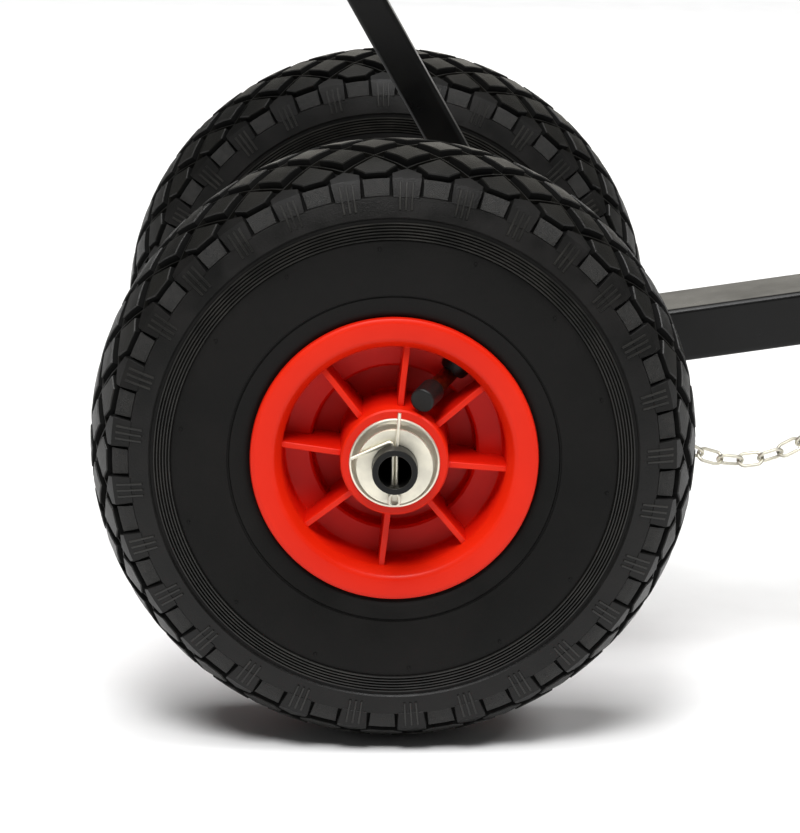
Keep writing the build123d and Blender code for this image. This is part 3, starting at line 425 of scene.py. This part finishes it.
def block(shape, outline, floor, top, draft=0.9, edge=0.5, kind=TREAD, splits=2):
    """A raised block on the skin from (angle, s) corners. Its sides lean in by draft and are groove
    rubber, darker as painted shade, and its top edge is chamfered."""
    ring = []
    for (a0, s0), (a1, s1) in zip(outline, outline[1:] + outline[:1]):
        for k in range(splits):
            ring.append((a0 + (a1 - a0) * k / splits, s0 + (s1 - s0) * k / splits))
    count = len(ring)
    mid_a, mid_s = sum(a for a, s in ring) / count, sum(s for a, s in ring) / count
    reach = max(math.hypot((a - mid_a) * TREAD_RADIUS, s - mid_s) for a, s in ring)
    levels = [(1 + draft * 0.4 / reach, floor), (1 - draft * 0.3 / reach, top - edge),
              (1 - (draft * 0.3 + edge) / reach, top)]
    points = [on_skin(mid_a + (a - mid_a) * share, mid_s + (s - mid_s) * share, lift)
              for share, lift in levels for a, s in ring]
    points.append(on_skin(mid_a, mid_s, top))
    faces = []
    for low in (0, count):
        high = low + count
        for i in range(count):
            j = (i + 1) % count
            faces.append((low + i, low + j, high + j, high + i))
    faces.extend([(2 * count + i, 2 * count + (i + 1) % count, 3 * count) for i in range(count)])
    first = len(shape.kinds)
    shape.add(points, faces, kind)
    shape.kinds[first:first + count] = [GROOVE] * count


def bar(shape, start, end, width, floor, top, kind=TREAD, splits=3):
    """A thin raised rib on the skin between two (angle, s) points."""
    da, ds = (end[0] - start[0]) * TREAD_RADIUS, end[1] - start[1]
    size = math.hypot(da, ds)
    na, ns = -ds / size * width / 2 / TREAD_RADIUS, da / size * width / 2
    points, faces = [], []
    for k in range(splits + 1):
        a = start[0] + (end[0] - start[0]) * k / splits
        s = start[1] + (end[1] - start[1]) * k / splits
        points.extend([on_skin(a - na, s - ns, floor), on_skin(a - na * 0.5, s - ns * 0.5, top),
                       on_skin(a + na * 0.5, s + ns * 0.5, top), on_skin(a + na, s + ns, floor)])
    for k in range(splits):
        for i in range(3):
            faces.append((4 * k + i, 4 * k + i + 1, 4 * k + i + 5, 4 * k + i + 4))
    faces.extend([(0, 3, 2, 1), (4 * splits, 4 * splits + 1, 4 * splits + 2, 4 * splits + 3)])
    shape.add(points, faces, kind)


def carcass_profile():
    """Outline of the tyre's body from the tread's middle to the bead, as (radius, height)."""
    def crown(s, lift):
        x, _, z = on_skin(0.0, s, lift)
        return (x, z)

    def flank(radius, lift):
        return crown(along_flank(radius), lift)

    # Floor of the tread, then the sunk band under the lugs and pads.
    line = [crown(EDGE * k / 12, -TREAD_DEPTH) for k in range(12)]
    line += [crown(EDGE - 1.2, -TREAD_DEPTH), crown(EDGE + 0.8, -2.6)]
    line += [flank(112.6, -2.3), flank(111.6, -0.35)]
    # Smooth band under the ribs, then the stepped rings.
    line += [flank(r, -0.3) for r in (108.0, 105.0, 103.4)]
    line.append(flank(102.6, -1.2))
    for number in reversed(range(RING_COUNT)):
        r = RING_START + number * RING_STEP
        line += [flank(r + 0.95, -1.25), flank(r + 0.65, -0.35), flank(r + 0.3, -0.35), flank(r, -1.25)]
    # Plain sidewall with one fine groove, then the bead in the rim.
    line += [flank(r, -0.95) for r in (93.2, 90, 86, 82, 78, 74, 71)]
    line += [flank(70.2, -0.95), flank(69.9, -1.6), flank(69.3, -1.6), flank(69.0, -0.8)]
    line += [flank(66.5, -0.8), flank(64.0, -0.8), flank(62.2, -0.9)]
    line += [(61.1, LIP_FACE - 3.2), (61.1, 35.7), (51.2, 35.7), (51.2, 27.2), (61, 27.2)]
    return line


def carcass(shape):
    """The tyre's body: both halves of its outline and lining, turned."""
    lining = arc_through(*LINING, LINING_STEPS)[:-1]
    half = lining + carcass_profile()[::-1]
    mirrored = [(r, -z) for r, z in half[::-1]]
    shape.lathe((half[1:] + mirrored[1:])[::-1], kind=BODY)
    for number, face in enumerate(shape.faces):
        radius = sum(math.hypot(*shape.points[i][:2]) for i in face) / len(face)
        height = abs(sum(shape.points[i][2] for i in face) / len(face))
        if radius > GROOVE_FROM:
            shape.kinds[number] = GROOVE
        elif radius > FLANK_FROM and height > FLANK_OUT:
            shape.kinds[number] = FLANK
    # The rings' ridges take the rib rubber, lighter as a painted highlight.
    for number in range(RING_COUNT):
        r = RING_START + number * RING_STEP
        for out in (1, -1):
            ridge = [on_skin(0.0, along_flank(r + step), lift) for step, lift in RING_SHAPE]
            shape.lathe([(x, out * z) for x, _, z in ridge][::-out], kind=RIB)


def tread_outline(a, s, row):
    """Corners of the tread block at angle a and distance s, cut flat in the outer rows."""
    if 0 < row < ROWS - 1:
        return [(a + x * BLOCK_HALF, s + y * BLOCK_TALL) for x, y in DIAMOND]
    out = 1 if row else -1
    outline = [(a + x * BLOCK_HALF, s + y * out * BLOCK_TALL) for x, y in DIAMOND[:5]]
    outline += [(a + x * BLOCK_HALF * CUT_WIDTH, s + out * BLOCK_TALL * CUT_AT) for x in (1, -1)]
    return outline if out > 0 else outline[::-1]


def tread(shape, index):
    """One pitch of the tread: a block in each row, and thin bars across the grooves to the next row."""
    for row in range(ROWS):
        s = (row - (ROWS - 1) / 2) * ROW_SPACING
        a = (index + row % 2 / 2) * PITCH
        block(shape, tread_outline(a, s, row), BLOCK_FLOOR, 0.0)
        if row < ROWS - 1:
            gap = a + PITCH / 2
            for way in (-0.5, 0.5):
                bar(shape, (gap, s), (gap + way * PITCH, s + ROW_SPACING), BAR_WIDTH, -TREAD_DEPTH - 0.3,
                    -TREAD_DEPTH * 0.45)


def shoulder(shape, index, out):
    """One shoulder lug, between two blocks of the last row, with its ribs and the pad beside it."""
    def on_side(corners):
        return [(angle, s * out) for angle, s in corners]

    last_row = ROWS - 1 if out > 0 else 0
    a = (index + (last_row + 1) % 2 / 2) * PITCH
    w, foot = LUG_HALF, along_flank(LUG_FOOT)
    corner, peak = EDGE + LUG_CORNER, EDGE + LUG_PEAK
    crown_part = on_side([(a - w, corner), (a, peak), (a + w, corner), (a + w, EDGE), (a - w, EDGE)])
    block(shape, crown_part, BLOCK_FLOOR, -0.15, edge=0.3, kind=FLANK)
    flank_part = on_side([(a - w, EDGE - 0.5), (a + w, EDGE - 0.5), (a + w * LUG_NARROWS, foot),
                          (a - w * LUG_NARROWS, foot)])
    block(shape, flank_part, -2.2, -0.1, draft=0.3, edge=0.35, kind=FLANK)
    # The lugs' ribs take the rib rubber, lighter as a painted highlight.
    for number in (-1, 0, 1):
        start, end = on_side([(a + number * RIB_SPREAD, along_flank(r)) for r in RIB_REACH])
        bar(shape, start, end, RIB_WIDTH, -0.7, 0.2, kind=RIB)
    centre, w, foot = a + PITCH / 2, PAD_HALF, along_flank(PAD_FOOT)
    pad = on_side([(centre - w, EDGE + PAD_START), (centre + w, EDGE + PAD_START),
                   (centre + w * PAD_NARROWS, foot), (centre - w * PAD_NARROWS, foot)])
    block(shape, pad, -3.2, -1.3, draft=0.1, edge=0.15, kind=PAD)


def nub(shape, index, out):
    """One small vent nub on the sidewall."""
    a, s = (index + 0.25) * 2 * math.pi / NUBS, along_flank(NUB_RADIUS)
    wide, tall = NUB_SIZE
    turns = np.linspace(0, 2 * math.pi, 7)[:-1]
    corners = [(a + wide * math.cos(t), (s + tall * math.sin(t)) * out) for t in turns]
    block(shape, corners, -1.4, -0.35, draft=0.2, edge=0.25, kind=BODY, splits=1)


def tyre(side, name, turn):
    """Pneumatic tyre with six rows of diamond blocks, lugged shoulders and a ringed sidewall."""
    shape = Shape()
    carcass(shape)
    for index in range(PITCHES):
        tread(shape, index)
        for out in (-1, 1):
            shoulder(shape, index, out)
    for index in range(NUBS):
        for out in (-1, 1):
            nub(shape, index, out)
    matrix = wheel_matrix(side) @ Matrix.Rotation(turn, 4, "Z")
    item = shape.build(name + "_tyre_tread", matrix, TYRE_LOOKS, name + "_wheel")
    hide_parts(name + "_tyre")


# ---- Rim ----
RIM_RIBS = 8
RIM_RIB_ANGLE = math.radians(39)
RIM_RIB_SECTION = [(22.0, 5.0), (22.0, 36.5), (24.0, 36.9), (46.0, 33.6), (48.2, 33.2), (48.2, 15.0),
                   (35.0, 13.0), (34.0, 5.0)]
RIM_RIB_HALF = 1.45
RIM_RIB_TAPER = 0.15
RIM_RIB_TOP = 30
SOFT_EDGE = 0.35 * MM


def rim_rib(shape, angle, out):
    """A flat rib across a pocket of the rim, a little thinner along its outer edge."""
    c, s = math.cos(angle), math.sin(angle)
    points = []
    for face in (-1, 1):
        for r, z in RIM_RIB_SECTION:
            half = face * (RIM_RIB_HALF - RIM_RIB_TAPER * (z > RIM_RIB_TOP))
            points.append((r * c - half * s, r * s + half * c, out * z))
    count = len(RIM_RIB_SECTION)
    faces = [tuple(range(count)), tuple(range(2 * count - 1, count - 1, -1))]
    faces += [(i, count + i, count + (i + 1) % count, (i + 1) % count) for i in range(count)]
    if out > 0:
        faces = [face[::-1] for face in faces]
    shape.add(points, faces)


def rim(side, name):
    """Moulded red rim: flat lip with a rolled edge, bevelled mouth, stepped web, ribs and hub."""
    shape = Shape()
    lip = [(50.8, 0), (50.8, 35.2), (52, 36.0), (60.0, 36.0), (LIP, 36.9), (LIP, 38.2), (60.3, 39.3),
           (59.4, 39.9), (58.2, LIP_FACE), (52.6, 39.8), (50.9, 39.4), (50.1, 38.6)]
    web = [(47.9, 34.6), (47.4, 33.4), (46.9, 16.5), (46.2, 15.4), (36.2, 14.6), (35.2, 13.6), (34.8, 6.2),
           (34.0, 5.2), (24.2, 5.0), (23.2, 6.0)]
    hub = [(22.8, 42.0), (22.6, 43.2), (21.9, 43.9), (20.2, 44.0), (19.5, 43.9), (17.6, 43.85),
           (17.6, 32.0), (12.6, 32.0)]
    front = lip + web + hub
    back = [(r, -z) for r, z in front[:0:-1]]
    shape.lathe(front + back, steps=RIM_STEPS)
    for index in range(RIM_RIBS):
        for out in (1, -1):
            rim_rib(shape, RIM_RIB_ANGLE + 2 * math.pi * index / RIM_RIBS, out)
    matrix = wheel_matrix(side)
    item = shape.build(name + "_rim_moulding", matrix, ["red_plastic"], name + "_wheel")
    bevel = item.modifiers.new("soft_edges", "BEVEL")
    bevel.width = SOFT_EDGE
    bevel.segments = 2
    bevel.limit_method = "ANGLE"
    bevel.angle_limit = math.radians(50)
    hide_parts(name + "_rim")


VALVE_ANGLE = math.radians(54)
VALVE_HEIGHT = 15.0


def valve_base(side, name):
    """Moulded rubber base that seals the valve stem in the rim."""
    shape = Shape()
    profile = [(6.6, 47.2), (6.4, 44.6), (5.9, 42.0), (5.2, 41.0), (0.01, 40.8), (0.01, 47.5)]
    shape.lathe(profile, steps=BASE_STEPS)
    stand = (Matrix.Translation((0, 0, VALVE_HEIGHT)) @ Matrix.Rotation(VALVE_ANGLE, 4, "Z")
             @ Matrix.Rotation(math.pi / 2, 4, "Y"))
    matrix = wheel_matrix(side) @ stand
    shape.build(name + "_valve_base", matrix, ["black_plastic"], name + "_wheel")


def bearing_cup(side, name, node, out):
    """Pressed bearing cup with a rolled edge and a shallow dish round the cone."""
    flange = [(17.4, 43.95), (19.0, 43.98), (19.1, 44.9), (18.8, 45.4), (18.2, 45.55), (17.6, 45.3)]
    dish = [(17.0, 44.9), (16.2, 44.7), (12.6, 44.7), (12.6, 43.5), (16.1, 43.4)]
    barrel = [(16.1, 33.6), (12.6, 33.5), (12.6, 32.1), (17.4, 32.1)]
    profile = flange + dish + barrel
    shape = Shape()
    shape.lathe(profile[::-1] if out > 0 else profile, steps=CUP_STEPS)
    matrix = wheel_matrix(side) @ Matrix.Diagonal((1, 1, out, 1))
    full = name + "_" + node
    item = shape.build(full + "_dished", matrix, ["zinc_steel"], name + "_wheel")
    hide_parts(full)


# ---- Grips ----
GRIP_BORE = 11.3
GRIP_RIBS = 15
GRIP_DIP = 1.8
GRIP_START = 8
GRIP_END = 12


def grip(name):
    """Rubber grip with rounded ribs and a domed end."""
    low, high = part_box(name)
    centre_x, centre_z = (low[0] + high[0]) / 2, (low[2] + high[2]) / 2
    radius = (high[2] - low[2]) / 2 / MM
    start, end = sorted([abs(low[1]) / MM, abs(high[1]) / MM])
    side = 1 if low[1] > 0 else -1
    valley = radius - GRIP_DIP
    profile = [(GRIP_BORE, start), (radius - 1.2, start), (radius, start + 1.5), (radius, start + 6),
               (valley, start + GRIP_START)]
    step = (end - start - GRIP_START - GRIP_END) / GRIP_RIBS
    for k in range(GRIP_RIBS):
        z = start + GRIP_START + k * step
        profile += [(valley, z + step * 0.18), (radius - 0.5, z + step * 0.36),
                    (radius - 0.4, z + step * 0.7), (valley, z + step * 0.9)]
    profile += [(radius - 1.6, end - 11), (radius, end - 9), (radius, end - 3), (radius - 1, end - 1),
                (radius - 3, end - 0.2), (0.05, end - 0.1), (0.05, end - 4.8), (GRIP_BORE, end - 4.9)]
    shape = Shape()
    shape.lathe(profile, steps=GRIP_STEPS)
    turn = Matrix(((1, 0, 0, centre_x), (0, 0, side, 0), (0, -side, 0, centre_z), (0, 0, 0, 1)))
    matrix = turn @ Matrix.Diagonal((MM, MM, MM, 1))
    item = shape.build(name + "_ribbed", matrix, ["grip_rubber"], "handle")
    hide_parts(name)


# How far each tyre is turned on its rim, so that its lugs stand where the photograph has them.
TYRE_TURN = {"right": math.pi / 2 - 0.034, "left": math.pi / 2 + 0.08}
for side, name in ((-1, "right"), (1, "left")):
    tyre(side, name, TYRE_TURN[name])
    rim(side, name)
    valve_base(side, name)
    bearing_cup(side, name, "outer_bearing_cup", 1)
    bearing_cup(side, name, "inner_bearing_cup", -1)
    grip(name + "_grip")

# ---- Floor, light and camera ----
FLOOR_HALF = 30
FLOOR_GAP = 0.0002
FLOOR_COLOURS = (0.86, 0.86, 0.86, 1), (0.88, 0.88, 0.88, 1)
floor_mesh = bpy.data.meshes.new("floor")
floor_corners = [(x * FLOOR_HALF, y * FLOOR_HALF, 0) for x, y in ((-1, -1), (1, -1), (1, 1), (-1, 1))]
floor_mesh.from_pydata(floor_corners, [], [(0, 1, 2, 3)])
floor = bpy.data.objects.new("floor", floor_mesh)
floor.location.z = cad_box[0][2] - FLOOR_GAP
bpy.context.scene.collection.objects.link(floor)
floor_mesh.materials.append(finish("floor_pale", *FLOOR_COLOURS, rough=(0.7, 0.8), grain_bump=0.0))

# The world lights the truck weakly, and is white where the camera sees it past the floor's edge.
AMBIENT = 0.12
world = bpy.data.worlds.new("studio")
world.use_nodes = True
world.node_tree.nodes["Background"].inputs["Color"].default_value = (1, 1, 1, 1)
ray = world.node_tree.nodes.new("ShaderNodeLightPath")
strength = ramp(world.node_tree, ray.outputs["Is Camera Ray"], 0.0, 1.0, AMBIENT, 1.0)
world.node_tree.links.new(strength, world.node_tree.nodes["Background"].inputs["Strength"])
bpy.context.scene.world = world
bpy.context.scene.view_settings.view_transform = "Standard"


def lamp(name, place, aim, size, power):
    """A soft square light."""
    data = bpy.data.lights.new(name, "AREA")
    data.shape = "SQUARE"
    data.size = size
    data.energy = power
    item = bpy.data.objects.new(name, data)
    item.location = place
    item.rotation_euler = (Vector(aim) - Vector(place)).to_track_quat("-Z", "Y").to_euler()
    bpy.context.scene.collection.objects.link(item)
    return item


# Place, aim, size in metres and power in watts. The backdrop only shines on the truck from behind.
WHEELS_MIDDLE = (0, 0, 0.15)
lamp("key", (-0.3, -1.75, 2.35), WHEELS_MIDDLE, 0.9, 48)
lamp("rim_light", (1.6, -0.6, 2.0), WHEELS_MIDDLE, 0.8, 18)
backdrop = lamp("backdrop", (0.1, 2.2, 1.05), (0, 0, 0.3), 1.6, 8)
backdrop.visible_camera = False
backdrop.data.color = (1.0, 0.96, 0.86)

# An even overhead light keeps the whole pale floor white and the upright faces dark.
overhead = bpy.data.lights.new("overhead", "SUN")
overhead.energy = 3.1
overhead.angle = math.radians(50)
overhead_lamp = bpy.data.objects.new("overhead", overhead)
overhead_lamp.rotation_euler = (math.radians(14), math.radians(-6), 0)
bpy.context.scene.collection.objects.link(overhead_lamp)

# The camera stands 1.76 m in front of the axle's middle and a little left of it, looking down 13 degrees.
# Its place was fitted to outlines in the photograph, then adjusted. Angles are in radians, and
# the lens is in mm.
CAMERA_FROM_AXLE = (-0.0217, -1.7592, 0.3741)
CAMERA_YAW = 0.0152
CAMERA_PITCH = 0.2226
CAMERA_ROLL = 0.0114
CAMERA_LENS = 166.35
ahead = math.cos(CAMERA_PITCH)
forward = Vector((math.sin(CAMERA_YAW) * ahead, math.cos(CAMERA_YAW) * ahead, -math.sin(CAMERA_PITCH)))
level = Vector((math.cos(CAMERA_YAW), -math.sin(CAMERA_YAW), 0))
above = level.cross(forward)
right = level * math.cos(CAMERA_ROLL) + above * math.sin(CAMERA_ROLL)
up = right.cross(forward)
camera_data = bpy.data.cameras.new("camera")
camera_data.lens = CAMERA_LENS
camera_data.sensor_width = 36
camera_data.sensor_fit = "AUTO"
camera = bpy.data.objects.new("camera", camera_data)
place = Vector((AXLE_X, 0, AXLE_Z)) + Vector(CAMERA_FROM_AXLE)
camera.matrix_world = Matrix((
    (right.x, up.x, -forward.x, place.x),
    (right.y, up.y, -forward.y, place.y),
    (right.z, up.z, -forward.z, place.z),
    (0, 0, 0, 1),
))
bpy.context.scene.collection.objects.link(camera)
bpy.context.scene.camera = camera
